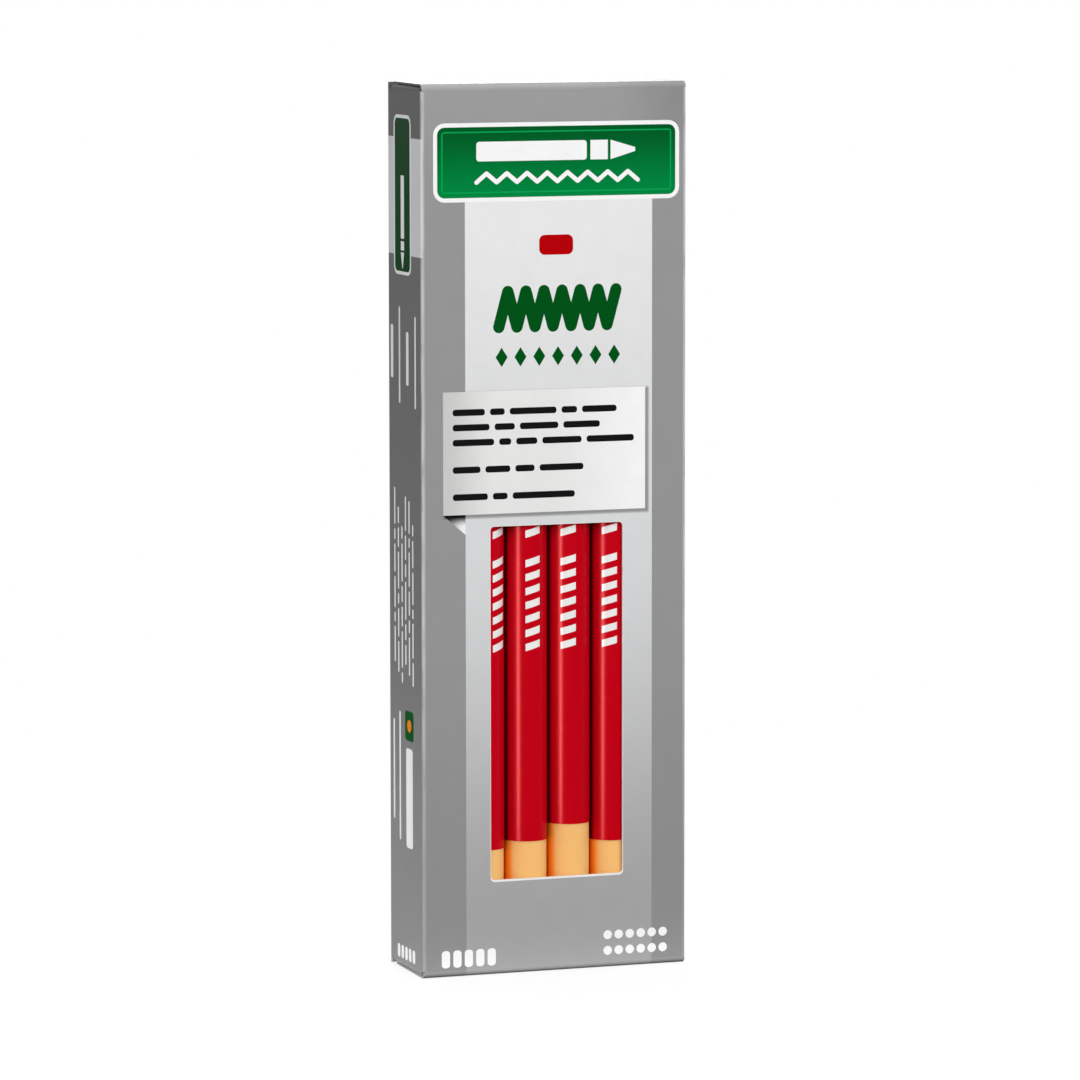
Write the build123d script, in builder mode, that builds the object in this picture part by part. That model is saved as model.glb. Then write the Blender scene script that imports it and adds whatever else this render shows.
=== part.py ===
"""Twelve peel-off china markers standing in their windowed tuck-end carton.

The carton is one creased board: a sleeve with a die-cut window, and at each end a lid with its
tuck flap and two dust flaps. Each marker is a wax core with a pull string beside it, wound in a
paper wrapper that a coloured paper jacket covers down to the bare, sharpened writing end.

Frame: millimetres, +Z up, the window faces -Y. The origin is the middle of the base.
"""

import os
from math import cos, radians, sin, tan

from build123d import *

# Markers
columns = 6
rows = 2
marker_length = 178.0
marker_diameter = 9.2
jacket_thickness = 0.12
core_diameter = 5.0
string_diameter = 0.6
string_sides = 4
string_stub = 1.0
point_angle = 55.0
paper_fit = 0.02
bare_length = 25.4
roll_step = 137.5

# How much further each jacket stops from the point than the shortest one, front row first
bare_extra = (
    (1.2, 0.0, 1.4, 4.5, 0.6, 2.2),
    (0.7, 2.0, 0.3, 2.9, 1.5, 1.0),
)

# Room around the markers
marker_gap = 0.2
side_gap = 0.35
front_gap = 0.35
back_gap = 0.25
seat_gap = 0.1
head_space = 3.8

# Carton board and its creases
board = 0.45
fold_inside = 0.2
lid_crease = 1.3
tuck_crease = 0.8
dust_crease = 0.8
crease_gap = 0.05
flap_gap = 0.15
edge_setback = 0.15

# Die-cut window in the front panel
window_width = 29.0
window_height = 73.4
window_bottom = 19.8
window_offset = 0.4
window_corner = 0.8

# Closures, alike at both ends
lid_inset = 0.15
lid_taper = 0.6
tuck_length = 10.0
tuck_inset = 1.6
tuck_corner = 4.0
tuck_swing = 0.9
dust_length = 12.5
dust_front_inset = 1.4
dust_back_inset = 0.5
dust_front_taper = 0.62
dust_back_taper = 0.3
dust_corner = 1.5

# Glued seam, where the right panel's glue flap holds the back panel's free edge
glue_width = 11.0
glue_setback = 16.0
glue_taper = 4.0
seam_gap = 0.3

# Sizes that follow from the ones above
marker_radius = marker_diameter / 2
core_radius = core_diameter / 2
string_radius = string_diameter / 2
wrapper_bore = core_radius + paper_fit
wrapper_radius = marker_radius - jacket_thickness - paper_fit
string_offset = core_radius + paper_fit + string_radius
pitch = marker_diameter + marker_gap
fold_radius = board + fold_inside

carton_width = (columns - 1) * pitch + marker_diameter + 2 * (side_gap + board)
tuck_room = back_gap + board + tuck_swing
carton_depth = (rows - 1) * pitch + marker_diameter + front_gap + tuck_room + 2 * board
flap_stack = 2 * board + flap_gap
carton_height = marker_length + seat_gap + head_space + 2 * flap_stack

right_x = carton_width / 2
front_y = -carton_depth / 2
back_y = carton_depth / 2
front_row_y = front_y + board + front_gap + marker_radius
tuck_outer_y = back_y - board - tuck_swing
lid_end_y = tuck_outer_y - tuck_crease
lid_butt_z = carton_height - lid_crease
dust_top_z = carton_height - board - flap_gap
dust_butt_z = dust_top_z - dust_crease
mid_height = Plane.XY.offset(carton_height / 2)


def creased_section(butt, crease, length):
    """Section of a folded flap: a quarter bend from the butt line, then a straight panel.

    The butt plane's origin is the crease's outer line, its x runs along the panel.
    """
    with BuildSketch(butt) as section:
        with BuildLine():
            outer = CenterArc((crease, 0), crease, 90, 90)
            inner = CenterArc((crease, 0), crease - board, 90, 90)
            top = Line(outer @ 0, (length, crease))
            end = Line(top @ 1, (length, crease - board))
            Line(end @ 1, inner @ 0)
            Line(inner @ 1, outer @ 1)
        make_face()
    return section.sketch


def cone_height(radius):
    """Height above the point at which the sharpened cone has this radius."""
    return radius / tan(radians(point_angle / 2))


# Sleeve: four panels round the markers, with the window and the glued seam
front_plane = Plane((0, front_y, 0), x_dir=(1, 0, 0), z_dir=(0, -1, 0))
back_plane = Plane((0, back_y - board, 0), x_dir=(1, 0, 0), z_dir=(0, -1, 0))
side_drop = carton_height - dust_butt_z + crease_gap
side_notch = carton_depth - fold_radius
seam_x = right_x - fold_radius - seam_gap / 2
glue_x = right_x - board - glue_width
glue_z = carton_height - glue_setback

with BuildPart() as carton_sleeve:
    with BuildSketch():
        RectangleRounded(carton_width, carton_depth, fold_radius)
        offset(amount=-board, mode=Mode.SUBTRACT)
    extrude(amount=carton_height)
    # The window
    with BuildSketch(front_plane):
        with Locations((window_offset, window_bottom + window_height / 2)):
            RectangleRounded(window_width, window_height, window_corner)
    extrude(amount=-board, mode=Mode.SUBTRACT)
    # Each panel stops where its lid or dust flap folds off
    with Locations((0, front_y, 0), (0, front_y, carton_height)):
        Box(carton_width, 2 * fold_radius, 2 * (lid_crease + crease_gap), mode=Mode.SUBTRACT)
    with GridLocations(carton_width, 0, 2, 1):
        with Locations((0, -fold_radius / 2, 0), (0, -fold_radius / 2, carton_height)):
            Box(2 * fold_radius, side_notch, 2 * side_drop, mode=Mode.SUBTRACT)
    with Locations((0, back_y, 0), (0, back_y, carton_height)):
        Box(carton_width, 2 * fold_radius, 2 * edge_setback, mode=Mode.SUBTRACT)
    # The back panel's free edge, and the glue flap that bridges it on the inside
    with Locations((seam_x, back_y - board / 2, carton_height / 2)):
        Box(seam_gap, board, carton_height, mode=Mode.SUBTRACT)
    with BuildSketch(back_plane):
        with BuildLine():
            Polyline(
                (right_x - board, glue_setback),
                (glue_x, glue_setback + glue_taper),
                (glue_x, glue_z - glue_taper),
                (right_x - board, glue_z),
                close=True,
            )
        make_face()
    extrude(amount=board)

# Lid: hinged on the front panel's top edge
lid_plane = Plane((0, front_y, lid_butt_z), x_dir=(0, 1, 0), z_dir=(1, 0, 0))
lid_half = right_x - lid_inset

with BuildPart() as top_lid:
    lid_section = creased_section(lid_plane, lid_crease, lid_end_y - front_y)
    extrude(lid_section, amount=lid_half, both=True)
    # It narrows towards the tuck flap, so that it comes out easily
    with BuildSketch(Plane.XY.offset(lid_butt_z)):
        with BuildLine():
            lid_side = Polyline(
                (0, front_y),
                (lid_half, front_y),
                (lid_half, front_y + lid_crease),
                (lid_half - lid_taper, lid_end_y),
                (0, lid_end_y),
            )
            mirror(lid_side, about=Plane.YZ)
        make_face()
    extrude(amount=lid_crease, mode=Mode.INTERSECT)

# Tuck flap: hangs from the lid's far edge, just inside the back panel
tuck_plane = Plane((0, lid_end_y, carton_height), x_dir=(0, 0, -1), z_dir=(1, 0, 0))

with BuildPart() as top_tuck_flap:
    tuck_section = creased_section(tuck_plane, tuck_crease, tuck_length)
    extrude(tuck_section, amount=right_x - tuck_inset, both=True)
    chamfer(top_tuck_flap.edges().filter_by(Axis.Y).group_by(Axis.Z)[0], tuck_corner)

# Dust flap: folds in from a side panel under the lid, cut back to clear the lid as both lift
dust_front_y = front_y + dust_front_inset
dust_back_y = tuck_outer_y - board - dust_back_inset
dust_base = dust_back_y - dust_front_y
dust_reach = dust_length - dust_crease

dust_plane = Plane((right_x, dust_front_y, dust_butt_z), x_dir=(-1, 0, 0), z_dir=(0, 1, 0))

with BuildPart() as top_dust_flap_right:
    dust_section = creased_section(dust_plane, dust_crease, dust_length)
    extrude(dust_section, amount=dust_base)
    with BuildSketch(Plane.XY.offset(dust_butt_z)):
        with BuildLine():
            Polyline(
                (right_x, dust_front_y),
                (right_x - dust_crease, dust_front_y),
                (right_x - dust_length, dust_front_y + dust_front_taper * dust_reach),
                (right_x - dust_length, dust_back_y - dust_back_taper * dust_reach),
                (right_x - dust_crease, dust_back_y),
                (right_x, dust_back_y),
                close=True,
            )
        make_face()
    extrude(amount=dust_crease, mode=Mode.INTERSECT)
    chamfer(top_dust_flap_right.edges().filter_by(Axis.Z).group_by(Axis.X)[0], dust_corner)

with BuildPart() as top_dust_flap_left:
    mirror(top_dust_flap_right.part, about=Plane.YZ)

# The bottom closure is the top one mirrored at mid-height
with BuildPart() as bottom_lid:
    mirror(top_lid.part, about=mid_height)
with BuildPart() as bottom_tuck_flap:
    mirror(top_tuck_flap.part, about=mid_height)
with BuildPart() as bottom_dust_flap_left:
    mirror(top_dust_flap_left.part, about=mid_height)
with BuildPart() as bottom_dust_flap_right:
    mirror(top_dust_flap_right.part, about=mid_height)

pieces = {
    "carton_sleeve": carton_sleeve.part,
    "top_lid": top_lid.part,
    "top_tuck_flap": top_tuck_flap.part,
    "top_dust_flap_left": top_dust_flap_left.part,
    "top_dust_flap_right": top_dust_flap_right.part,
    "bottom_lid": bottom_lid.part,
    "bottom_tuck_flap": bottom_tuck_flap.part,
    "bottom_dust_flap_left": bottom_dust_flap_left.part,
    "bottom_dust_flap_right": bottom_dust_flap_right.part,
}


def seat_height(x):
    """Height of a marker's point: on a bottom dust flap beside the walls, else on the lid."""
    on_flap = right_x - abs(x) < dust_length
    return (flap_stack if on_flap else board) + seat_gap


def revolved(section, outline):
    """A round piece about the section plane's y axis, from its half outline."""
    with BuildPart() as piece:
        with BuildSketch(section):
            with BuildLine():
                Polyline(*outline, close=True)
            make_face()
        revolve(axis=Axis(section.origin, section.y_dir))
    return piece.part


def string_rod(section, radius, low):
    """A straight cord beside the core, from a height above the point to the butt end."""
    with BuildPart() as rod:
        with BuildSketch(Plane(section.origin, section.x_dir, section.y_dir).offset(low)):
            with Locations((string_offset, 0)):
                RegularPolygon(radius, string_sides)
        extrude(amount=marker_length - low)
    return rod.part


def marker(section, bare):
    """The four pieces of one marker, its point at the section plane's origin."""
    wax_outline = [
        (0, 0),
        (core_radius, cone_height(core_radius)),
        (core_radius, marker_length),
        (0, marker_length),
    ]
    # The wound paper is sharpened to the same cone as the wax, and holds the string in a channel
    paper_outline = [
        (wrapper_bore, cone_height(wrapper_bore)),
        (wrapper_radius, cone_height(wrapper_radius)),
        (wrapper_radius, marker_length),
        (wrapper_bore, marker_length),
    ]
    with BuildPart() as paper_wrapper:
        add(revolved(section, paper_outline))
        add(string_rod(section, string_radius + paper_fit, 0), mode=Mode.SUBTRACT)
    # The jacket is a plain tube that stops short of the writing end
    jacket_bore = marker_radius - jacket_thickness
    with BuildPart() as colour_jacket:
        with BuildSketch(Plane(section.origin, section.x_dir, section.y_dir).offset(bare)):
            Circle(marker_radius)
            Circle(jacket_bore, mode=Mode.SUBTRACT)
        extrude(amount=marker_length - bare)
    return {
        "wax_core": revolved(section, wax_outline),
        "paper_wrapper": paper_wrapper.part,
        "colour_jacket": colour_jacket.part,
        "pull_string": string_rod(section, string_radius, cone_height(core_radius) - string_stub),
    }


for row in range(rows):
    for column in range(columns):
        number = row * columns + column
        x = (column - (columns - 1) / 2) * pitch
        y = front_row_y + row * pitch
        extras = bare_extra[row % len(bare_extra)]
        roll = radians(roll_step * number)
        across = (cos(roll), sin(roll), 0)
        section = Plane((x, y, seat_height(x)), across, (sin(roll), -cos(roll), 0))
        made = marker(section, bare_length + extras[column % len(extras)])
        for piece_name, shape in made.items():
            pieces[f"marker_{number + 1:02d}_{piece_name}"] = shape

os.makedirs("parts", exist_ok=True)
for name, shape in pieces.items():
    shape.label = name
    export_step(shape, f"parts/{name}.step")
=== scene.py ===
"""Looks for the carton of china markers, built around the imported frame.

The carton is made as a real one is: flat blanks of board are cut along their print and their
bends, and then folded. Each marker is paper wound round a wax core, in a printed jacket.

The scene is in metres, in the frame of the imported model. Sizes here are in millimetres, apart
from those of the lamps and the floor.
"""

from math import asin, atan2, cos, pi, radians, sin, sqrt, tan

import bpy
from mathutils import Euler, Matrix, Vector
from mathutils.geometry import delaunay_2d_cdt


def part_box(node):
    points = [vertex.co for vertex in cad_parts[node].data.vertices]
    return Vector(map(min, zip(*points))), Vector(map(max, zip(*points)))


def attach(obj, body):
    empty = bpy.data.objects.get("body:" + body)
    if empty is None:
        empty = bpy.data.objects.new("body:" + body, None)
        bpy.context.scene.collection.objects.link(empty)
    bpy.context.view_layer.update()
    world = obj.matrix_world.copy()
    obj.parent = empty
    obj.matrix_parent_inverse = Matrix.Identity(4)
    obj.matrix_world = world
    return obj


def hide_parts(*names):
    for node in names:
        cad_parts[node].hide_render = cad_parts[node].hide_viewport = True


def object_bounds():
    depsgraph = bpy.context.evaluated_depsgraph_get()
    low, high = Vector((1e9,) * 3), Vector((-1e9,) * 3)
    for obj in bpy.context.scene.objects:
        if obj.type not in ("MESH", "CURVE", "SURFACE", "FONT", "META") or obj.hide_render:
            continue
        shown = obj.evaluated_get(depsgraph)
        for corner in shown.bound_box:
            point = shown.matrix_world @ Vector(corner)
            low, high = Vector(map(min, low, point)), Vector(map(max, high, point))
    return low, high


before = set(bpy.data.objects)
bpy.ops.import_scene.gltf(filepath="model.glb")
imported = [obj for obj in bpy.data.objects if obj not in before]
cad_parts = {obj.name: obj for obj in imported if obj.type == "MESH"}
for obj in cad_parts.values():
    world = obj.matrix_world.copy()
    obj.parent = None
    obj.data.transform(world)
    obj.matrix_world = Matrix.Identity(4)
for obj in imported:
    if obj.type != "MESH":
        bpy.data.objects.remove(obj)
cad_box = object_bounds()

mm = 0.001
quarter = pi / 2

# Board and creases, as in the CAD model
board = 0.45
fold_radius = 0.65
lid_crease = 1.3
tuck_crease = 0.8
dust_crease = 0.8
crease_gap = 0.05
flap_gap = 0.15
edge_setback = 0.15
lid_inset = 0.15
lid_taper = 0.6
tuck_inset = 1.6
tuck_swing = 0.9
tuck_length = 10.0
tuck_corner = 4.0
dust_length = 12.5
dust_front_inset = 1.4
dust_back_inset = 0.5
dust_front_taper = 0.62
dust_back_taper = 0.3
dust_corner = 1.5
seam_gap = 0.3
glue_width = 11.0
glue_setback = 16.0
glue_taper = 4.0

# Window
window_width = 29.0
window_height = 73.4
window_bottom = 19.8
window_offset = 0.4
window_corner = 0.8
rim_side = 0.1
rim_low = 0.4

# Carton sizes that the frame gives
right_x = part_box("carton_sleeve")[1].x / mm
back_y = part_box("carton_sleeve")[1].y / mm
front_y = -back_y
carton_height = cad_box[1].z / mm
lid_butt_z = carton_height - lid_crease
tuck_outer_y = back_y - board - tuck_swing
lid_end_y = tuck_outer_y - tuck_crease
dust_butt_z = carton_height - board - flap_gap - dust_crease

# Marker sizes, as in the CAD model
markers = sum(node.endswith("_wax_core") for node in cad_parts)
marker_radius = 4.6
jacket_thickness = 0.12
core_radius = 2.5
paper_fit = 0.02
wrapper_bore = core_radius + paper_fit
wrapper_radius = marker_radius - jacket_thickness - paper_fit
point_angle = 55.0
string_radius = 0.3

# Flat shapes, counter-clockwise

bar_rounding = 0.4
bar_steps = 3


def spread(first, run, count):
    """Evenly spread values from the first over this run, both ends included."""
    return [first + run * step / (count - 1) for step in range(count)]


def polar(centre, radius, turn):
    return (centre[0] + radius * cos(turn), centre[1] + radius * sin(turn))


def inset(box, amount):
    return (box[0] + amount, box[1] + amount, box[2] - amount, box[3] - amount)


def rectangle(left, low, right, high):
    return [(left, low), (right, low), (right, high), (left, high)]


def arc(centre, radius, start, turn, steps):
    """Points on an arc, both ends included, with angles in degrees."""
    return [polar(centre, radius, radians(angle)) for angle in spread(start, turn, steps + 1)]


def rounded(left, low, right, high, radius, steps=5):
    """A rectangle with round corners."""
    left, low, right, high = inset((left, low, right, high), radius)
    shape = []
    for number, centre in enumerate(((right, high), (left, high), (left, low), (right, low))):
        shape += arc(centre, radius, 90 * number, 90, steps)
    return shape


def disc(x, z, radius, steps=20):
    return arc((x, z), radius, 0, 360, steps)[:-1]


def capsule(start, end, radius, steps):
    """A straight stroke with round ends."""
    heading = atan2(end[1] - start[1], end[0] - start[0]) * 180 / pi
    return arc(end, radius, heading - 90, 180, steps) + arc(start, radius, heading + 90, 180, steps)


def zigzag(box, count, radius, ink, steps=8):
    """Prints of a line that goes up and down across a box, through this count of points."""
    left, low, right, high = box
    line = [(x, high if step % 2 else low) for step, x in enumerate(spread(left, right - left, count))]
    return [(capsule(start, end, radius, steps), ink) for start, end in zip(line, line[1:])]


def bar_row(start, low, height, lengths, space):
    """Plain bars in a row, with round corners."""
    bars = []
    for length in lengths:
        bars.append(rounded(start, low, start + length, low + height, height * bar_rounding, bar_steps))
        start += length + space
    return bars


def fence(first, pitch, count, corner, steps=5):
    """Upright bars side by side, all like the box of the first one."""
    left, low, right, high = first
    moves = [pitch * step for step in range(count)]
    return [rounded(left + move, low, right + move, high, corner, steps) for move in moves]


def clipped(outline, corners, size):
    """The outline with these corners cut off, by a length along both edges."""
    shape = []
    for number, corner in enumerate(outline):
        if number not in corners:
            shape.append(corner)
            continue
        here = Vector(corner)
        for other in (outline[number - 1], outline[(number + 1) % len(outline)]):
            shape.append(tuple(here + (Vector(other) - here).normalized() * size))
    return shape


# Print on the front panel, x to the right and z up. Boxes are left, low, right and high. Print
# and bend lines run past the board's edges by the overrun.

overrun = 1.0
band_left = -19.5
band_right = 21.35
band_top = 168.0

# Plate, with a drawn marker over a wavy stroke
plate = (-26.3, 159.9, 27.3, 176.0)
plate_corner = 2.4
plate_border = 0.85
plate_line = 1.75
plate_line_width = 0.3
plate_line_corner = 0.3
drawn_barrel = (-17.0, 168.15, 7.0, 172.15)
drawn_barrel_corner = 0.6
drawn_collar = (7.8, 168.15, 11.6, 172.15)
drawn_point = [(12.2, 168.15), (17.6, 169.75), (17.6, 170.55), (12.2, 172.15)]
wave = (-17.0, 163.85, 18.2, 165.65)
wave_points = 17
wave_radius = 0.45
wave_end_steps = 5

# Motif: a red bar, a crayon zigzag and a row of lozenges
motif_bar = (-3.4, 148.8, 4.0, 152.9)
motif_bar_corner = 1.2
crayon_line = (-12.2, 134.2, 13.4, 141.4)
crayon_points = 14
crayon_radius = 1.25
lozenge_row = (-11.6, 126.0, 13.0, 130.0)
lozenge_half = 1.3
lozenges = 7

# Note, with a folded corner and rows of (height, lengths of the bars)
note = (-24.35, 95.85, 19.85, 121.15)
note_fold_drop = 4.1
note_margin = 2.1
note_bar_height = 1.35
note_bar_space = 1.1
note_rows = (
    (116.2, (7.0, 3.2, 10.2, 3.4, 7.6)),
    (113.1, (8.0, 4.4, 8.4, 8.0)),
    (110.0, (9.0, 2.6, 4.6, 8.6, 10.4)),
    (104.4, (6.0, 5.4, 4.2, 9.6)),
    (98.8, (7.6, 3.2, 13.6)),
)

# Foot: bars on the left and one dot for each marker on the right
foot_bar = (-24.9, 2.0, -23.1, 5.6)
foot_bar_pitch = 2.5
foot_bars = 5
foot_bar_corner = 0.7
dot_columns = 6
dot_first = (11.6, 3.6)
dot_pitch = (2.45, 3.3)
dot_radius = 0.95


def plate_print():
    line_inside = inset(plate, plate_line + plate_line_width)
    prints = [
        (rounded(*plate, plate_corner), "white"),
        (rounded(*inset(plate, plate_border), plate_corner - plate_border), "green"),
        (rounded(*inset(plate, plate_line), plate_corner - plate_line), "light_green"),
        (rounded(*line_inside, plate_line_corner), "green"),
        (rounded(*drawn_barrel, drawn_barrel_corner), "white"),
        (rectangle(*drawn_collar), "white"),
        (drawn_point, "white"),
    ]
    return prints + zigzag(wave, wave_points, wave_radius, "white", wave_end_steps)


def motif_print():
    prints = [(rounded(*motif_bar, motif_bar_corner), "red")]
    prints += zigzag(crayon_line, crayon_points, crayon_radius, "dark_green")
    left, low, right, high = lozenge_row
    middle = (low + high) / 2
    for x in spread(left, right - left, lozenges):
        lozenge = [(x - lozenge_half, middle), (x, low), (x + lozenge_half, middle), (x, high)]
        prints.append((lozenge, "dark_green"))
    return prints


def note_print():
    left, low, right, high = note
    fold = [(left, low), (band_left, low - note_fold_drop), (band_left, low)]
    prints = [(fold, "note_fold"), (rectangle(*note), "note")]
    for z, lengths in note_rows:
        for bar in bar_row(left + note_margin, z, note_bar_height, lengths, note_bar_space):
            prints.append((bar, "black"))
    return prints


def foot_print():
    shapes = fence(foot_bar, foot_bar_pitch, foot_bars, foot_bar_corner)
    for number in range(markers):
        x = dot_first[0] + number % dot_columns * dot_pitch[0]
        z = dot_first[1] + number // dot_columns * dot_pitch[1]
        shapes.append(disc(x, z, dot_radius))
    return [(shape, "white") for shape in shapes]


def front_print():
    band = rectangle(band_left, -overrun, band_right, band_top)
    return [(band, "band")] + note_print() + plate_print() + motif_print() + foot_print()


# Print on the left panel, y towards the back and z up

side_panel = rectangle(front_y, -overrun, back_y, carton_height + overrun)
side_block = rectangle(front_y, 148.7, back_y, 172.8)

# Plate, with a drawn marker that points down
side_plate = (-4.2, 144.6, 6.7, 177.4)
side_plate_corner = 2.0
side_plate_border = 0.7
side_barrel = (0.2, 152.0, 2.3, 165.0)
side_barrel_corner = 0.3
side_collar = (0.2, 149.6, 2.3, 151.5)
side_point = [(1.05, 145.9), (1.45, 145.9), (2.3, 149.2), (0.2, 149.2)]

# Upright bars, four above and two below
side_bars = (
    (-7.05, 117.5, -6.15, 136.5),
    (-2.4, 122.0, -0.8, 133.0),
    (2.95, 118.0, 3.85, 138.0),
    (7.4, 123.0, 9.0, 134.0),
    (3.4, 27.0, 4.3, 54.0),
    (7.2, 31.0, 8.1, 52.0),
)
side_bar_corner = 0.4

# Upright rows of short bars, whose lengths vary in waves
field_rows = 6
field_first = -4.3
field_pitch = 2.3
field_lows = (60.0, 62.0, 64.0)
field_bars = 6
field_bar_length = 5.0
field_bar_change = 3.0
field_row_wave = 1.7
field_bar_wave = 2.3
field_bar_width = 0.75
field_bar_space = 0.9

# Badge with its disc and a broad bar, and the bars at the foot
badge = (-4.85, 48.4, 0.6, 54.6)
badge_corner = 0.9
badge_disc = (-2.1, 51.5, 1.3)
badge_bar = (-4.2, 26.0, 0.0, 46.8)
badge_bar_corner = 0.8
side_foot_bar = (-5.4, 2.2, -3.8, 5.0)
side_foot_pitch = 2.4
side_foot_bars = 5
side_foot_corner = 0.6


def field_print():
    """The rows of short bars, laid out flat and then turned upright."""
    shapes = []
    for row in range(field_rows):
        y = field_first + row * field_pitch
        waves = [sin(row * field_row_wave + number * field_bar_wave) for number in range(field_bars)]
        lengths = [field_bar_length + field_bar_change * wave for wave in waves]
        low = field_lows[row % len(field_lows)]
        for bar in bar_row(low, 0, field_bar_width, lengths, field_bar_space):
            shapes.append([(y - across, along) for along, across in bar])
    return shapes


def side_print():
    plate_inside = inset(side_plate, side_plate_border)
    prints = [
        (side_panel, "side_ground"),
        (side_block, "pale"),
        (rounded(*side_plate, side_plate_corner), "white"),
        (rounded(*plate_inside, side_plate_corner - side_plate_border), "side_green"),
        (rounded(*side_barrel, side_barrel_corner), "white"),
        (rectangle(*side_collar), "white"),
        (side_point, "white"),
        (rounded(*badge, badge_corner), "dark_green"),
        (disc(*badge_disc), "orange"),
        (rounded(*badge_bar, badge_bar_corner), "white"),
    ]
    bars = [rounded(*bar, side_bar_corner, bar_steps) for bar in side_bars] + field_print()
    bars += fence(side_foot_bar, side_foot_pitch, side_foot_bars, side_foot_corner, bar_steps)
    return prints + [(bar, "white") for bar in bars]


# Sheets: a flat blank is cut along its print and bends, folded, and given its thickness

whole_blank = 0
weld = 1e-5
bend_steps = 8


def walk(runs, distance, start, heading):
    """Point and heading after this distance along straight and bent runs of (length, turn)."""
    x, y = start
    for length, turn in runs:
        step = min(distance, length)
        if turn:
            radius = length / turn
            after = heading + turn * step / length
            x += radius * (sin(after) - sin(heading))
            y -= radius * (cos(after) - cos(heading))
            heading = after
        else:
            x += step * cos(heading)
            y += step * sin(heading)
        distance -= step
        if distance <= 0:
            break
    return x, y, heading


def wrap(runs, along, z, start, heading):
    """Place and outward normal on an upright sheet that is bent round along its runs."""
    x, y, now = walk(runs, along, start, heading)
    return Vector((x, y, z)), Vector((sin(now), -cos(now), 0))


def cut_blank(outline, holes, shapes, bends):
    """Corners of the cut blank, and its triangles, each with the number of the shape on it."""
    points = []
    faces = []
    for loop in (outline, *holes, *shapes):
        faces.append(list(range(len(points), len(points) + len(loop))))
        points.extend(Vector(corner) for corner in loop)
    edges = []
    for start, end in bends:
        edges.append((len(points), len(points) + 1))
        points.extend((Vector(start), Vector(end)))
    found = delaunay_2d_cdt(points, edges, faces, whole_blank, weld)
    corners, triangles, sources = found[0], found[2], found[5]
    kept = []
    for triangle, source in zip(triangles, sources):
        in_hole = any(1 <= number <= len(holes) for number in source)
        if 0 in source and not in_hole:
            kept.append((triangle, max(0, max(source) - len(holes))))
    return corners, kept


def fold_sheet(name, blank, fold, thickness, skins, inside, rim):
    """A closed sheet from a cut blank. The fold gives a flat point's place and outward normal."""
    corners, triangles = blank
    used = sorted({corner for triangle, skin in triangles for corner in triangle})
    order = {corner: place for place, corner in enumerate(used)}
    folded = [fold(*corners[corner]) for corner in used]
    count = len(used)
    points = [place * mm for place, normal in folded]
    points += [(place - normal * thickness) * mm for place, normal in folded]
    slots = list(dict.fromkeys((*skins, inside, rim)))
    faces = []
    normals = []
    finishes = []

    def add(face, material, face_normals):
        faces.append(face)
        finishes.append(slots.index(material))
        normals.extend(face_normals)

    one, two, three = (order[corner] for corner in triangles[0][0])
    outward = (points[two] - points[one]).cross(points[three] - points[one]).dot(folded[one][1]) > 0
    borders = set()
    for triangle, skin in triangles:
        face = [order[corner] for corner in triangle]
        if not outward:
            face.reverse()
        add(face, skins[skin], [folded[corner][1] for corner in face])
        back = [corner + count for corner in reversed(face)]
        add(back, inside, [-folded[corner][1] for corner in reversed(face)])
        for start, end in zip(face, face[1:] + face[:1]):
            if (end, start) in borders:
                borders.remove((end, start))
            else:
                borders.add((start, end))
    for start, end in sorted(borders):
        quad = [end, start, start + count, end + count]
        flat = (points[start] - points[end]).cross(points[start + count] - points[start])
        add(quad, rim, [flat.normalized()] * 4)

    piece = add_piece(name, points, faces, slots)
    piece.data.polygons.foreach_set("material_index", finishes)
    piece.data.normals_split_custom_set(normals)
    return piece


def add_piece(name, points, faces, materials):
    """A new smooth piece in the scene."""
    mesh = bpy.data.meshes.new(name)
    mesh.from_pydata(points, [], faces)
    for material in materials:
        mesh.materials.append(material)
    mesh.polygons.foreach_set("use_smooth", [True] * len(faces))
    return add_object(name, mesh)


def add_object(name, data):
    made = bpy.data.objects.new(name, data)
    bpy.context.scene.collection.objects.link(made)
    return made


def tie(piece, node, body=None):
    """Ties a piece to the node it replaces and its body, named like the node by default."""
    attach(piece, body or node)
    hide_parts(node)


def printed_sheet(name, outline, fold, holes=(), prints=(), bends=(), rim="cut_edge", inside="inside"):
    """A sheet of board, with each print of (shape, ink) on it."""
    skins = [inks["ground"]] + [inks[ink] for shape, ink in prints]
    blank = cut_blank(outline, holes, [shape for shape, ink in prints], bends)
    return fold_sheet(name, blank, fold, board, skins, inks[inside], inks[rim])


# Materials

white = (1.0, 1.0, 1.0, 1.0)


def srgb(red, green, blue):
    """Linear colour from the usual 0 to 255 values."""
    linear = []
    for value in (red, green, blue):
        share = value / 255
        linear.append(share / 12.92 if share <= 0.04045 else ((share + 0.055) / 1.055) ** 2.4)
    return (*linear, 1.0)


def grey(level):
    """The carton's printed grey, which is a touch cool."""
    return srgb(level, level, level + 1)


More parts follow.
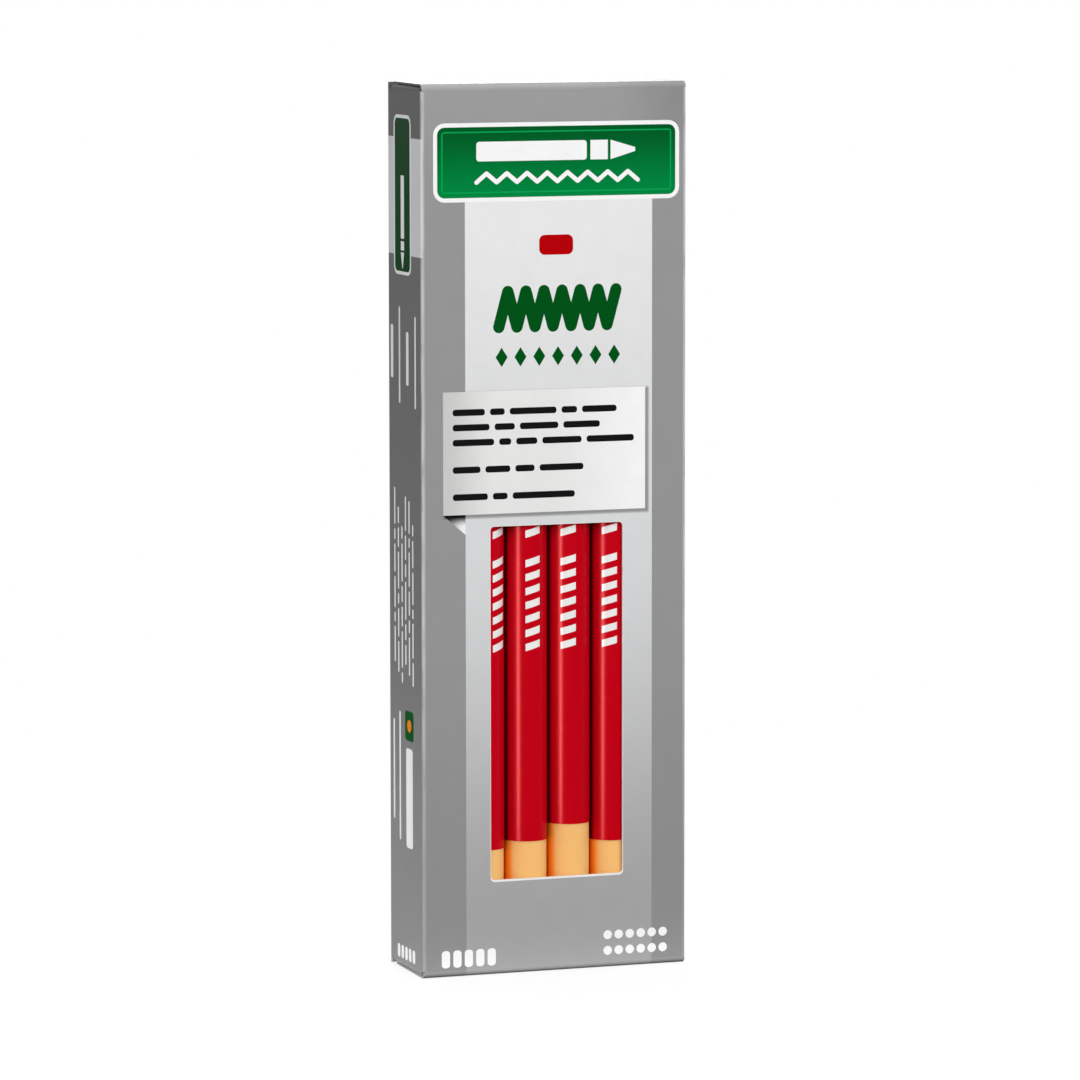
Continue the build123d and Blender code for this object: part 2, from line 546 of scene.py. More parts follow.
class Nodes:
    """A node tree, with short calls for its nodes."""

    def __init__(self, tree):
        self.tree = tree

    def node(self, kind, *values, settings=(), **inputs):
        """A new node, its first inputs fed in order and others by name."""
        node = self.tree.nodes.new(kind)
        for name, value in dict(settings).items():
            setattr(node, name, value)
        for socket, value in zip(node.inputs, values):
            self.feed(socket, value)
        self.fill(node, inputs)
        return node

    def fill(self, node, inputs):
        for name, value in inputs.items():
            self.feed(node.inputs[name.replace("_", " ")], value)

    def feed(self, socket, value):
        if isinstance(value, bpy.types.NodeSocket):
            self.tree.links.new(value, socket)
        elif socket.type == "VECTOR":
            socket.default_value = value[:3]
        else:
            socket.default_value = value

    def math(self, operation, *values):
        return self.node("ShaderNodeMath", *values, settings={"operation": operation}).outputs[0]

    def vector(self, operation, *values):
        return self.node("ShaderNodeVectorMath", *values, settings={"operation": operation})

    def product(self, first, *others):
        for value in others:
            first = self.math("MULTIPLY", first, value)
        return first

    def between(self, share, low, high):
        """Low where the share is 0, high where it is 1."""
        return self.math("MULTIPLY_ADD", share, high - low, low)

    def step(self, value, start, end):
        """0 where the value is the start, 1 where it is the end, smooth between."""
        settings = {"interpolation_type": "SMOOTHSTEP"}
        return self.node("ShaderNodeMapRange", value, start, end, settings=settings).outputs["Result"]


class Look(Nodes):
    """A material being made. Lengths are in millimetres."""

    def __init__(self, name):
        self.material = bpy.data.materials.new(name)
        self.material.use_nodes = True
        super().__init__(self.material.node_tree)
        self.place = self.node("ShaderNodeTexCoord").outputs["Object"]
        self.x, self.y, self.z = self.node("ShaderNodeSeparateXYZ", self.place).outputs

    def set(self, **inputs):
        self.fill(self.tree.nodes["Principled BSDF"], inputs)

    def away(self, axis, centre):
        """Distance along an axis from its centre, to either side."""
        return self.math("ABSOLUTE", self.math("SUBTRACT", axis, centre * mm))

    def rise(self, length, start, end):
        """A step along a length."""
        return self.step(length, start * mm, end * mm)

    def noise(self, size, detail, stretch=(1, 1, 1)):
        """Cloudy noise with features of this size, longer along stretched axes."""
        scale = [1 / (size * mm * amount) for amount in stretch]
        place = self.vector("MULTIPLY", self.place, scale).outputs[0]
        return self.node("ShaderNodeTexNoise", Vector=place, Scale=1.0, Detail=detail).outputs["Fac"]

    def mix(self, factor, first, second):
        node = self.node("ShaderNodeMix", factor, settings={"data_type": "RGBA"})
        self.feed(node.inputs[6], first)
        self.feed(node.inputs[7], second)
        return node.outputs[2]

    def shade(self, colour, noise, amount):
        """The colour made lighter and darker by a share, as the noise says."""
        node = self.vector("SCALE", colour)
        self.feed(node.inputs["Scale"], self.between(noise, 1 - amount, 1 + amount))
        return node.outputs[0]

    def bumped(self, height, depth, strength):
        """The finished material, with this bump."""
        bump = self.node("ShaderNodeBump", Height=height, Distance=depth * mm, Strength=strength)
        self.set(Normal=bump.outputs["Normal"])
        return self.material


# Printed board is paler along its folds, least so near the foot: wear, and a painted highlight
board_wear_and_highlight = 0.7
board_gloss = 0.015
wear_and_highlight_colour = srgb(228, 228, 228)
wear_and_highlight_reach = 0.9
wear_and_highlight_core = 0.2
wear_and_highlight_heights = (15, 90)
wear_and_highlight_shares = (0.25, 0.93)


def edge_distance(look):
    """Distance from the carton's nearest edge: the middle one of the three distances to its
    faces, as the least of them is to the face that the point is on."""
    middle = carton_height / 2
    inward = []
    for axis, centre, reach in ((look.x, 0, right_x), (look.y, 0, back_y), (look.z, middle, middle)):
        inward.append(look.math("SUBTRACT", reach * mm, look.away(axis, centre)))
    lesser = look.math("MINIMUM", inward[0], inward[1])
    greater = look.math("MAXIMUM", inward[0], inward[1])
    return look.math("MAXIMUM", lesser, look.math("MINIMUM", greater, inward[2]))


def printed(name, paint, wear_and_highlight=board_wear_and_highlight, gloss=board_gloss):
    """Varnished printed board: paper cloudiness, fine grain, and pale folds that are wear and a painted
    highlight.
    """
    look = Look(name)
    cloud = look.noise(size=4.0, detail=4)
    grain = look.noise(size=0.25, detail=2)
    streaks = look.noise(size=1.5, detail=4, stretch=(1, 1, 6))
    colour = look.shade(paint(look), cloud, amount=0.035)
    colour = look.shade(colour, grain, amount=0.03)
    near = look.rise(edge_distance(look), wear_and_highlight_reach, wear_and_highlight_core)
    rub_and_painted_light = look.step(streaks, start=0.1, end=0.6)
    # Painted highlight, with the wear: the folds are paler higher up, where more light falls on them
    wear_and_highlight_by_height = look.between(look.rise(look.z, *wear_and_highlight_heights), *wear_and_highlight_shares)
    worn_and_highlit = look.product(near, rub_and_painted_light, wear_and_highlight_by_height, wear_and_highlight)
    look.set(Base_Color=look.mix(worn_and_highlit, colour, wear_and_highlight_colour))
    look.set(Roughness=look.between(grain, low=0.26, high=0.38), Specular_IOR_Level=gloss)
    return look.bumped(grain, depth=0.04, strength=0.35)


def raw_board(name, paint):
    """Bare board: matt, with fibres and a few darker flecks."""
    look = Look(name)
    fibres = look.noise(size=0.4, detail=4, stretch=(1, 1, 5))
    cloud = look.noise(size=3.0, detail=3)
    fleck = look.step(look.noise(size=0.6, detail=2), start=0.70, end=0.78)
    colour = look.shade(paint(look), fibres, amount=0.05)
    colour = look.shade(colour, cloud, amount=0.05)
    flecked = look.product(fleck, 0.35)
    look.set(Base_Color=look.mix(flecked, colour, srgb(150, 138, 120)))
    look.set(Roughness=0.9, Specular_IOR_Level=0.15)
    return look.bumped(fibres, depth=0.06, strength=0.5)


# Paints of the carton

shadow_drop = 0.4
shadow_reach = 0.7
shadow_share = 0.6
shadow_colour = srgb(40, 40, 40)
panel_margin = 0.01
bare_board = srgb(205, 203, 198)
clean_edge = srgb(236, 235, 231)
# Painted shade for the carton's top corners, inside and on the notched edges
painted_shade_board = srgb(96, 95, 93)
notch_depth = 3.0
notch_margin = 0.5
shade_beside = (4.0, 1.5)
shade_below = (5.0, 2.5)


def tone(colour, *stops):
    """Paint that is one colour, or changes through stops of (axis, start, end, colour or paint)."""

    def paint(look):
        found = colour
        for axis, start, end, after in stops:
            share = look.rise(getattr(look, axis), start, end)
            found = look.mix(share, found, after(look) if callable(after) else after)
        return found

    return paint


def round_note(paint):
    """The paint with the soft printed shadow of the note on it."""

    def shadowed(look):
        left, low, right, high = note
        sides = (
            (look.x, left + shadow_drop, right + shadow_drop),
            (look.z, low - shadow_drop, high - shadow_drop),
        )
        square = 0.0
        for axis, start, end in sides:
            away = look.away(axis, (start + end) / 2)
            past = look.math("MAXIMUM", look.math("SUBTRACT", away, (end - start) / 2 * mm), 0.0)
            square = look.math("MULTIPLY_ADD", past, past, square)
        near = look.rise(look.math("SQRT", square), shadow_reach, 0)
        in_front = look.math("LESS_THAN", look.y, (front_y + panel_margin) * mm)
        return look.mix(look.product(near, in_front, shadow_share), paint(look), shadow_colour)

    return shadowed


def sleeve_edge_paint(look):
    """Pale, with painted shade at the top corners, where they are notched for the flaps."""
    at_top = look.math("GREATER_THAN", look.z, (carton_height - notch_depth) * mm)
    before_back = look.math("LESS_THAN", look.y, (back_y - notch_margin) * mm)
    return look.mix(look.product(at_top, before_back), clean_edge, painted_shade_board)


def sleeve_inside_paint(look):
    """Bare board, with painted shade in the upper side corners."""
    at_side = look.rise(look.away(look.x, 0), *(right_x - length for length in shade_beside))
    at_top = look.rise(look.z, *(carton_height - length for length in shade_below))
    return look.mix(look.product(at_side, at_top), bare_board, painted_shade_board)


def make_inks():
    """Every finish of the carton, by name."""
    note_low = note[1]
    flap_butt = carton_height - dust_butt_z
    pale = srgb(218, 219, 220)
    palest = srgb(233, 233, 233)
    # Painted shade and light: the ground is darker towards the foot and the upper right corner, paler
    # at the upper left
    upper_ground = tone(grey(155), ("x", 12, 28.5, grey(140)))
    ground = tone(grey(144), ("z", 10, 80, grey(150)), ("z", 165, 180, upper_ground))
    band = tone(grey(164), ("z", 4, 95, pale), ("z", 95, 165, palest))
    paints = {
        "ground": round_note(ground),
        # Painted light: the side grey is paler towards the foot, as light from the floor would make it
        "side_ground": tone(grey(147), ("z", 0, 90, grey(122)), ("z", 150, 182, grey(112))),
        "band": round_note(band),
        "note": tone(
            srgb(200, 200, 199),
            ("x", -26, -12, srgb(232, 232, 231)),
            ("x", -4, 24, srgb(248, 249, 248)),
        ),
        "note_fold": tone(
            srgb(96, 96, 96),
            ("x", -24, -19.8, srgb(240, 240, 240)),
            ("z", note_low - 2.4, note_low - 0.3, srgb(10, 10, 10)),
        ),
        "green": tone(srgb(0, 88, 36), ("z", plate[3], plate[1], srgb(0, 134, 64))),
    }
    plain_paints = {
        "white": (246, 246, 246),
        "pale": (224, 225, 226),
        "light_green": (10, 158, 80),
        "side_green": (0, 66, 26),
        "dark_green": (0, 82, 24),
        "red": (182, 0, 8),
        "orange": (240, 138, 28),
        "black": (20, 22, 21),
        "chipped": (240, 240, 238),
    }
    # Bottom creases: paler for wear, and as painted light where they turn under into shade
    rub_and_painted_light_paints = {
        "rub_and_painted_light": tone(grey(152)),
        "rub_and_painted_light_band": tone(grey(166)),
        "rub_and_painted_light_flap": tone(grey(146), ("z", flap_butt, flap_butt - dust_crease, srgb(215, 215, 215))),
    }
    # Painted shade: the top crease darkens towards the right, as the ground does
    creased = tone(grey(158), ("x", 4, 28.5, grey(140)))
    bare_paints = {
        "inside": tone(bare_board),
        "cut_edge": tone(clean_edge),
        # Painted shade: dark rims for the top closures, whose gaps lie in shadow
        "painted_shade_edge": tone(srgb(104, 102, 98)),
        "foot_edge": tone(srgb(165, 163, 159)),
        "sleeve_edge": sleeve_edge_paint,
        "sleeve_inside": sleeve_inside_paint,
    }
    made = {name: printed(f"board_{name}", paint) for name, paint in paints.items()}
    for name, colour in plain_paints.items():
        made[name] = printed(f"board_{name}", tone(srgb(*colour)))
    for name, paint in rub_and_painted_light_paints.items():
        made[name] = printed(f"board_{name}", paint, wear_and_highlight=0.2)
    made["creased"] = printed("board_creased", creased, wear_and_highlight=0.1)
    # Painted shade: the top dust flaps' creases are dark grey and matt
    made["flap"] = printed("board_flap", tone(grey(112)), wear_and_highlight=0.0, gloss=0.0)
    for name, paint in bare_paints.items():
        made[name] = raw_board(f"board_{name}", paint)
    return made


# Materials of the markers


def painted_gap_shade(look, core, reach, share):
    """Painted shade: the share within the core distance of the lines where barrels touch, 0 past the
    reach.
    """
    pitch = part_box("marker_02_wax_core")[0].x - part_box("marker_01_wax_core")[0].x
    away = look.math("PINGPONG", look.x, pitch / 2)
    return look.product(look.rise(away, reach, core), share)


def jacket_paper(name, colour, sheen):
    """Glossy printed paper, with painted shade where the barrels touch."""
    look = Look(name)
    cloud = look.noise(size=2.0, detail=3, stretch=(1, 1, 8))
    grain = look.noise(size=0.2, detail=2)
    shaded = look.shade(colour, cloud, amount=0.06)
    rub_and_painted_light = painted_gap_shade(look, core=0.2, reach=0.55, share=0.85)
    # Painted shade: dark red along the lines where the barrels touch
    look.set(Base_Color=look.mix(rub_and_painted_light, shaded, srgb(70, 0, 4)))
    look.set(Roughness=look.between(grain, low=0.2, high=0.28))
    look.set(Specular_IOR_Level=0.2, Specular_Tint=sheen)
    return look.bumped(grain, depth=0.02, strength=0.2)


def tan_paper():
    """Unprinted wound paper with fine fibres round the barrel, painted deep orange as shade where the
    barrels touch.
    """
    look = Look("wound_paper_tan")
    fibres = look.noise(size=0.3, detail=4, stretch=(5, 5, 1))
    cloud = look.noise(size=3.0, detail=3)
    smudge = look.step(look.noise(size=2.2, detail=2), start=0.66, end=0.76)
    shaded = look.shade(srgb(255, 196, 123), fibres, amount=0.04)
    shaded = look.shade(shaded, cloud, amount=0.04)
    smudged = look.mix(look.product(smudge, 0.2), shaded, srgb(236, 150, 70))
    rub_and_painted_light = painted_gap_shade(look, core=0.4, reach=1.3, share=0.95)
    # Painted shade: deep orange along the lines where the barrels touch
    look.set(Base_Color=look.mix(rub_and_painted_light, smudged, srgb(255, 140, 0)))
    look.set(Roughness=0.8, Specular_IOR_Level=0.02)
    look.set(Subsurface_Weight=0.3, Subsurface_Radius=(1.0, 0.35, 0.1), Subsurface_Scale=1.2 * mm)
    return look.bumped(fibres, depth=0.02, strength=0.25)


def red_wax():
    """Soft opaque wax with faint drag marks."""
    look = Look("wax_red")
    drag = look.noise(size=0.4, detail=3, stretch=(1, 1, 6))
    look.set(Base_Color=look.shade(srgb(172, 4, 16), drag, amount=0.08))
    look.set(Roughness=look.between(drag, low=0.4, high=0.6), Specular_IOR_Level=0.12)
    look.set(Subsurface_Weight=0.1, Subsurface_Scale=0.5 * mm)
    return look.bumped(drag, depth=0.04, strength=0.4)


def white_string():
    """Cotton string with fine fibres."""
    look = Look("string_cotton")
    fibres = look.noise(size=0.08, detail=2, stretch=(1, 1, 4))
    look.set(Base_Color=look.shade(srgb(236, 230, 216), fibres, amount=0.12))
    look.set(Roughness=0.95, Specular_IOR_Level=0.1)
    return look.bumped(fibres, depth=0.04, strength=0.6)


# Carton sleeve, laid flat from the glued seam round the back, left, front and right panels

width_run = 2 * (right_x - fold_radius)
depth_run = 2 * (back_y - fold_radius)
bend_run = quarter * fold_radius
back_run = width_run - seam_gap
sleeve_runs = []
for run in (back_run, depth_run, width_run, depth_run):
    sleeve_runs += [(run, 0), (bend_run, quarter)]
left_start = back_run + bend_run
left_end = left_start + depth_run
front_start = left_end + bend_run
front_end = front_start + width_run
right_end = front_end + bend_run + depth_run
sleeve_end = right_end + bend_run
sleeve_start = (right_x - fold_radius - seam_gap, back_y)


def on_front(shape):
    return [(front_start + x + right_x - fold_radius, z) for x, z in shape]


def on_left(shape):
    """Flat place of a shape on the left panel, whose y runs against the sheet."""
    return [(left_start + back_y - fold_radius - y, z) for y, z in reversed(shape)]


def on_right(shape):
    return [(front_end + bend_run + back_y - fold_radius + y, z) for y, z in shape]


def sleeve_fold(along, z):
    return wrap(sleeve_runs, along, z, sleeve_start, pi)


def sleeve_outline():
    """The sleeve laid flat, with each panel stopped where its lid or dust flap folds off."""
    front_drop = lid_crease + crease_gap
    side_drop = carton_height - dust_butt_z + crease_gap
    places = (0, left_start, front_start, front_end, right_end, sleeve_end)
    drops = (edge_setback, side_drop, front_drop, side_drop, edge_setback)
    low = []
    for start, end, drop in zip(places, places[1:], drops):
        low += [(start, drop), (end, drop)]
    high = [(along, carton_height - z) for along, z in reversed(low)]
    return low + high


def make_sleeve():
    left = window_offset - window_width / 2
    right = left + window_width
    high = window_bottom + window_height
    window = rounded(left, window_bottom, right, high, window_corner)
    rim_box = (left - rim_side, window_bottom - rim_low, right + rim_side, high + rim_side)
    rim = rounded(*rim_box, window_corner + rim_side)
    prints = [(on_front(shape), ink) for shape, ink in front_print() + [(rim, "chipped")]]
    prints += [(on_left(shape), ink) for shape, ink in side_print()]
    prints.append((on_right(side_panel), "side_ground"))
    bends = []
    for start in (back_run, left_end, front_end, right_end):
        for place in spread(start, bend_run, bend_steps + 1):
            bends.append(((place, -overrun), (place, carton_height + overrun)))
    sleeve = printed_sheet(
        "carton_sleeve_board",
        sleeve_outline(),
        sleeve_fold,
        holes=[on_front(window)],
        prints=prints,
        bends=bends,
        rim="sleeve_edge",
        inside="sleeve_inside",
    )
    tie(sleeve, "carton_sleeve", "carton")


def glue_fold(x, z):
    return Vector((x, back_y - board, z)), Vector((0, 1, 0))


def make_glue_flap():
    """The flap of the glued seam, inside the back panel."""
    right = right_x - board
    left = right - glue_width
    low = glue_setback
    high = carton_height - glue_setback
    outline = [(left, high - glue_taper), (left, low + glue_taper), (right, low), (right, high)]
    glue_flap = printed_sheet("carton_glue_flap", outline, glue_fold)
    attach(glue_flap, "carton")


# Closures: the top ones are folded, the bottom ones mirrored from them

# The top rims carry painted shade
flap_rims = {"top": "painted_shade_edge", "bottom": "foot_edge"}
hands = {"left": -1, "right": 1}


def crease_fold(start, heading, crease, length, turn, lead=0.0):
    """Section of a flap: a quarter bend and a straight panel, as place and outward normal."""
    runs = [(lead, 0), (quarter * crease, turn * quarter), (length, 0)]
    start = polar(start, -lead, heading)

    def section(along):
        across, up, now = walk(runs, along, start, heading)
        return (across, up), (turn * sin(now), -turn * cos(now))

    return section


def flap_fold(section, end, hand=0):
    """Fold of a flap at this end of the carton, across it or in from the side on this hand."""

    def fold(beside, along):
        (inward, z), (facing, upward) = section(along)
        if end == "bottom":
            z = carton_height - z
            upward = -upward
        if hand:
            return Vector((hand * inward, beside, z)), Vector((hand * facing, 0, upward))
        return Vector((beside, inward, z)), Vector((0, facing, upward))

    return fold


def crease_lines(crease, left, right, lead=0.0):
    """Lines across a flap's bend."""
    places = spread(lead, quarter * crease, bend_steps + 1)
    return [((left - overrun, place), (right + overrun, place)) for place in places]


def tapered(left, right, bent, total, left_taper, right_taper):
    """Outline of a flap that tapers from its bend on."""
    near = [(left, bent), (left, 0), (right, 0), (right, bent)]
    return near + [(right - right_taper, total), (left + left_taper, total)]


def make_lid(end):
    straight = lid_end_y - front_y - lid_crease
    section = crease_fold((front_y, lid_butt_z), quarter, lid_crease, straight, -1, crease_gap)
    half = right_x - lid_inset
    bent = crease_gap + quarter * lid_crease
    crease = rectangle(-half, -overrun, half, bent)
    band = rectangle(band_left, -overrun, band_right, bent)
    lid = printed_sheet(
        f"{end}_lid_board",
        tapered(-half, half, bent, bent + straight, lid_taper, lid_taper),
        flap_fold(section, end),
        prints=[(crease, "creased")] if end == "top" else [(crease, "rub_and_painted_light"), (band, "rub_and_painted_light_band")],
        bends=crease_lines(lid_crease, -half, half, crease_gap),
        rim=flap_rims[end],
    )
    tie(lid, f"{end}_lid")


def make_tuck(end):
    straight = tuck_length - tuck_crease
    section = crease_fold((lid_end_y, carton_height), 0, tuck_crease, straight, -1)
    half = right_x - tuck_inset
    total = quarter * tuck_crease + straight
    tuck = printed_sheet(
        f"{end}_tuck_board",
        clipped(rectangle(-half, 0, half, total), (2, 3), tuck_corner),
        flap_fold(section, end),
        bends=crease_lines(tuck_crease, -half, half),
    )
    tie(tuck, f"{end}_tuck_flap")


def make_dust_flap(end, side):
    reach = dust_length - dust_crease
    section = crease_fold((right_x, dust_butt_z), quarter, dust_crease, reach, 1, crease_gap)
    bent = crease_gap + quarter * dust_crease
    front = front_y + dust_front_inset
    back = tuck_outer_y - board - dust_back_inset
    tapers = (dust_front_taper * reach, dust_back_taper * reach)
    crease = rectangle(front, -overrun, back, bent)
    flap = printed_sheet(
        f"{end}_dust_{side}_board",
        clipped(tapered(front, back, bent, bent + reach, *tapers), (4, 5), dust_corner),
        flap_fold(section, end, hands[side]),
        prints=[(crease, "flap" if end == "top" else "rub_and_painted_light_flap")],
        bends=crease_lines(dust_crease, front, back, crease_gap),
        rim=flap_rims[end],
    )
    tie(flap, f"{end}_dust_flap_{side}")


# Markers

jacket_columns = 72
jacket_seam = 0.04
core_columns = 48
core_break = 0.12
core_dish = 0.1
dish_shoulder = (0.5, 0.7)
point_round = 0.35
blunt_angles = (0.0, 0.4, 0.8, 1.09)
wrapper_columns = 58
windings = 10
winding_step = 0.05
string_room = string_radius + paper_fit
string_offset = wrapper_bore + string_radius
channel_shares = (-1.0, -0.9, -0.7, -0.35, 0.0, 0.35, 0.7, 0.9, 1.0)
channel_rim = 1.01
channel_clear = 1.08
strand_pitch = 3.2
strand_steps = 8
strand_sides = 6
edge_angle = 25.0
strand_angle = 50.0

# Slanting bars up the barrel, in groups of (count, height of the first)
jacket_groups = ((7, 67.0), (9, 90.5))
jacket_bar_half = 1.6
jacket_bar_slant = 0.9
jacket_bar_width = 1.5
jacket_bar_pitch = 2.9

# Which way each marker's print faces, in degrees about the upright axis, front row first
print_turns = (-96, -60, -88, -108, -112, -75, -140, 20, 95, -30, 160, -85)

red_sheen = (1.0, 0.2, 0.2, 1.0)


def even_turns(steps):
    return [2 * pi * step / steps for step in range(steps)]


def lathe(name, profile, turns, material, centre):
    """A round piece whose closed half outline of (radius, z) may differ from turn to turn."""
    outlines = [profile(turn) for turn in turns]
    points = []
    rings = []
    for place, (radius, z) in enumerate(outlines[0]):
        if radius == 0:
            rings.append([len(points)] * len(turns))
            points.append(Vector((*centre, z)) * mm)
            continue
        rings.append(list(range(len(points), len(points) + len(turns))))
        for turn, outline in zip(turns, outlines):
            radius, z = outline[place]
            points.append(Vector((*polar(centre, radius, turn), z)) * mm)
    faces = []
    for below, above in zip(rings, rings[1:] + rings[:1]):
        for step in range(len(turns)):
            after = (step + 1) % len(turns)
            face = list(dict.fromkeys((below[step], below[after], above[after], above[step])))
            if len(face) > 2:
                faces.append(face)
    piece = add_piece(name, points, faces, [material])
    piece.data.set_sharp_from_angle(angle=radians(edge_angle))
    return piece


def cone_height(radius):
    return radius / tan(radians(point_angle / 2))


def jacket_print(middle):
    shapes = []
    left = middle - jacket_bar_half
    right = middle + jacket_bar_half
    for count, start in jacket_groups:
        for step in range(count):
            low = start + step * jacket_bar_pitch
            slanted = low + jacket_bar_slant
            lower = [(left, low), (right, slanted)]
            upper = [(x, z + jacket_bar_width) for x, z in reversed(lower)]
            shapes.append(lower + upper)
    return shapes


def make_jacket(name, centre, print_turn, materials):
    """A printed sheet rolled round the wrapper, its seam opposite the print."""
    low, high = (corner.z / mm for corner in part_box(f"{name}_colour_jacket"))
    around = 2 * pi * marker_radius
    start_turn = print_turn + pi
    start = polar(centre, marker_radius, start_turn)

    def fold(along, z):
        return wrap([(around, 2 * pi)], along, z, start, start_turn + quarter)

    shapes = jacket_print(around / 2)
    columns = spread(jacket_seam, around - 2 * jacket_seam, jacket_columns + 1)[1:-1]
    bends = [((place, low - overrun), (place, high + overrun)) for place in columns]
    outline = rectangle(jacket_seam, low, around - jacket_seam, high)
    blank = cut_blank(outline, (), shapes, bends)
    skins = [materials["red"]] + [materials["white"]] * len(shapes)
    sides = (materials["tan"], materials["edge"])
    return fold_sheet(f"{name}_jacket", blank, fold, jacket_thickness, skins, *sides)


def make_core(name, centre, tip, butt, material):
    """The wax, its point a little blunt, its butt dished and the butt's edge broken."""
    blunt = [(point_round * sin(angle), point_round * (1 - cos(angle))) for angle in blunt_angles]
    drop = cone_height(blunt[-1][0]) - blunt[-1][1]
    outline = [(radius, tip + drop + z) for radius, z in blunt]
    outline += [
        (core_radius, tip + cone_height(core_radius)),
        (core_radius, butt - core_break),
        (core_radius - core_break, butt),
        (core_radius * dish_shoulder[0], butt - core_dish * dish_shoulder[1]),
        (0, butt - core_dish),
    ]
    return lathe(f"{name}_core", lambda turn: outline, even_turns(core_columns), material, centre)


def make_wrapper(name, centre, tip, butt, string_turn, material):
    """Paper wound in layers, whose edges show on the cone and on the butt. The string lies in a
    channel along the bore."""

    def bore(turn):
        across = string_offset * sin(turn - string_turn)
        ahead = string_offset * cos(turn - string_turn)
        if ahead < 0 or abs(across) > string_room * channel_rim:
            return wrapper_bore
        return ahead + sqrt(max(0.0, string_room ** 2 - across ** 2))

    def profile(turn):
        inner = bore(turn)
        layers = spread(inner, wrapper_radius - inner, windings + 1)
        steps = [winding_step * (number % 2) for number in range(windings + 1)]
        point = [(radius, tip + cone_height(radius) + step) for radius, step in zip(layers, steps)]
        end = [(radius, butt - step) for radius, step in zip(layers, steps)]
        return point + end[::-1]

    half = asin(string_room / string_offset)
    channel = [half * share for share in channel_shares]
    clear = channel_clear * half
    around = spread(clear, 2 * pi - 2 * clear, wrapper_columns + 1)
    turns = [string_turn + turn for turn in channel + around]
    return lathe(f"{name}_wrapper", profile, turns, material, centre)


def make_string(name, centre, string_turn, low, high, material):
    """Two strands twisted round each other beside the core."""
    middle = polar(centre, string_offset, string_turn)
    strand = string_radius / 2
    sides = strand_sides
    steps = round((high - low) / strand_pitch * strand_steps)
    points = []
    faces = []
    for begin in (0.0, pi):
        first = len(points)
        for z in spread(low, high - low, steps + 1):
            strand_centre = polar(middle, strand, begin + 2 * pi * (z - low) / strand_pitch)
            for turn in even_turns(sides):
                points.append(Vector((*polar(strand_centre, strand, turn), z)) * mm)
        for step in range(steps):
            here = first + step * sides
            for side in range(sides):
                after = (side + 1) % sides
                faces.append([here + side, here + after, here + sides + after, here + sides + side])
        last = first + steps * sides
        faces.append(list(range(first + sides - 1, first - 1, -1)))
        faces.append(list(range(last, last + sides)))
    piece = add_piece(f"{name}_string", points, faces, [material])
    piece.data.set_sharp_from_angle(angle=radians(strand_angle))
    return piece


def make_marker(number, materials):
    name = f"marker_{number:02d}"
    core_low, core_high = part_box(f"{name}_wax_core")
    string_low, string_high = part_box(f"{name}_pull_string")
    middle = (core_low + core_high) / 2 / mm
    beside = (string_low + string_high) / 2 / mm - middle
    centre = (middle.x, middle.y)
    ends = (core_low.z / mm, core_high.z / mm)
    string_ends = (string_low.z / mm, string_high.z / mm)
    string_turn = atan2(beside.y, beside.x)
    print_turn = radians(print_turns[number - 1])

    core = make_core(name, centre, *ends, materials["wax"])
    wrapper = make_wrapper(name, centre, *ends, string_turn, materials["tan"])
    string = make_string(name, centre, string_turn, *string_ends, materials["string"])
    jacket = make_jacket(name, centre, print_turn, materials)
    tie(core, f"{name}_wax_core", name)
    tie(wrapper, f"{name}_paper_wrapper", name)
    tie(jacket, f"{name}_colour_jacket", name)
    tie(string, f"{name}_pull_string", name)


def make_markers():
    materials = {
        "red": jacket_paper("jacket_red", srgb(197, 0, 22), red_sheen),
        "white": jacket_paper("jacket_white", srgb(240, 240, 238), white),
        "tan": tan_paper(),
        "edge": raw_board("jacket_edge", tone(srgb(222, 120, 110))),
        "wax": red_wax(),
        "string": white_string(),
    }
    for number in range(1, markers + 1):
        make_marker(number, materials)


# Studio, with the camera in millimetres and degrees, and the rest in metres

camera_place = (-433.6, -1198.8, 227.8)
camera_yaw = 19.91
camera_pitch = -6.22
camera_roll = -0.06
camera_lens = 205.86
camera_near = 10.0
floor_half = 6.0
floor_colour = (0.2, 0.2, 0.2, 1.0)
floor_glow = 0.8
floor_fade = (0.06, 0.35)
world_light = 0.5
world_white = 1.0

# Lamps: name, place, aim, width and height, and watts
lamps = (
    ("front_light", (-0.12, -0.95, 0.62), (0, 0, 0.1), (1.3, 0.9), 9.8),
    ("top_light", (0, 0.1, 1.3), (0, 0, 0.1), (1.0, 1.0), 2.5),
    ("right_light", (1.3, 0.1, 0.5), (0, 0, 0.1), (0.9, 0.9), 7.0),
    ("back_light", (0.1, 1.3, 0.6), (0, 0, 0.1), (0.9, 0.9), 11.0),
    ("left_foot_light", (-0.14, 0, 0.012), (0, 0, 0.012), (0.1, 0.024), 0.047),
    ("left_bounce", (-0.0331, 0, 0.0003), (-0.0331, 0, 1), (0.008, 0.02), 0.00022),
    ("front_bounce", (0, -0.0149, 0.0003), (0, -0.0149, 1), (0.08, 0.008), 0.001),
    ("strip_light", (-0.138, -0.102, 0.045), (0, 0, 0.045), (0.04, 0.09), 0.45),
)


def make_camera():
    data = bpy.data.cameras.new("camera")
    data.lens = camera_lens
    data.clip_start = camera_near * mm
    camera = add_object("camera", data)
    camera.location = Vector(camera_place) * mm
    facing = Euler((radians(90 + camera_pitch), 0, radians(-camera_yaw)), "XYZ").to_matrix()
    rolled = Euler((0, 0, radians(camera_roll)), "XYZ").to_matrix()
    camera.rotation_euler = (facing @ rolled).to_euler()
    bpy.context.scene.camera = camera


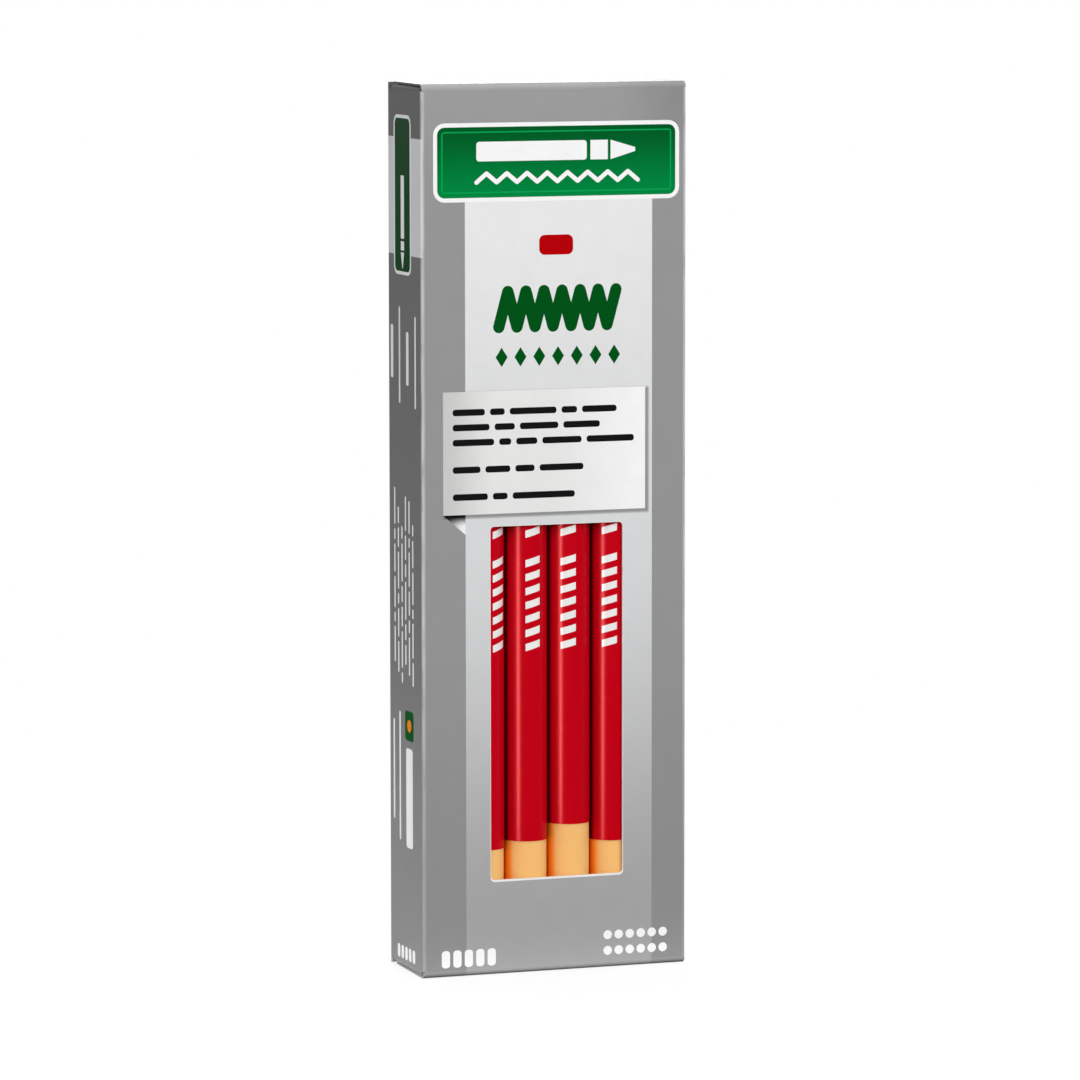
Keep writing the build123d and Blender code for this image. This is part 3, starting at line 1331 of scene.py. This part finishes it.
def make_floor():
    """A wide floor that shows white, keeps a faint shadow and fades out away from the carton."""
    look = Look("studio_floor")
    seen = look.node("ShaderNodeLightPath").outputs["Is Camera Ray"]
    far = look.vector("LENGTH", look.place).outputs["Value"]
    faded = look.product(look.step(far, *floor_fade), seen)
    diffuse = look.node("ShaderNodeBsdfDiffuse", floor_colour).outputs[0]
    glow = look.node("ShaderNodeEmission", Strength=look.product(seen, floor_glow)).outputs[0]
    clear = look.node("ShaderNodeBsdfTransparent").outputs[0]
    lit = look.node("ShaderNodeAddShader", diffuse, glow).outputs[0]
    shown = look.node("ShaderNodeMixShader", faded, lit, clear).outputs[0]
    look.fill(look.tree.nodes["Material Output"], {"Surface": shown})
    corners = [(x, y, 0) for x, y in rectangle(-floor_half, -floor_half, floor_half, floor_half)]
    floor = add_piece("floor", corners, [(0, 1, 2, 3)], [look.material])


def make_world():
    """White where the camera, a reflection or a see-through ray meets it, a soft grey as light."""
    world = bpy.data.worlds.new("studio_world")
    bpy.context.scene.world = world
    world.use_nodes = True
    nodes = Nodes(world.node_tree)
    rays = nodes.node("ShaderNodeLightPath").outputs
    shiny = nodes.math("MAXIMUM", rays["Is Glossy Ray"], rays["Is Transmission Ray"])
    seen = nodes.math("MAXIMUM", rays["Is Camera Ray"], shiny)
    level = nodes.between(seen, world_light, world_white)
    nodes.fill(world.node_tree.nodes["Background"], {"Color": white, "Strength": level})


def make_lights():
    """A broad front light, softer ones above, on the right and behind, a strip that only shows as
    a sheen on the barrels, and low light on the foot of the left side and of the front."""
    for name, place, aim, size, power in lamps:
        data = bpy.data.lights.new(name, "AREA")
        data.shape = "RECTANGLE"
        data.size, data.size_y = size
        data.energy = power
        lamp = add_object(name, data)
        lamp.location = place
        lamp.rotation_euler = (Vector(aim) - Vector(place)).to_track_quat("-Z", "Y").to_euler()
        lamp.visible_camera = False
        lamp.visible_diffuse = name != "strip_light"


inks = make_inks()
make_sleeve()
make_glue_flap()
for end in ("top", "bottom"):
    make_lid(end)
    make_tuck(end)
    for side in hands:
        make_dust_flap(end, side)
make_markers()
make_camera()
make_floor()
make_world()
make_lights()
bpy.context.scene.view_settings.view_transform = "Standard"
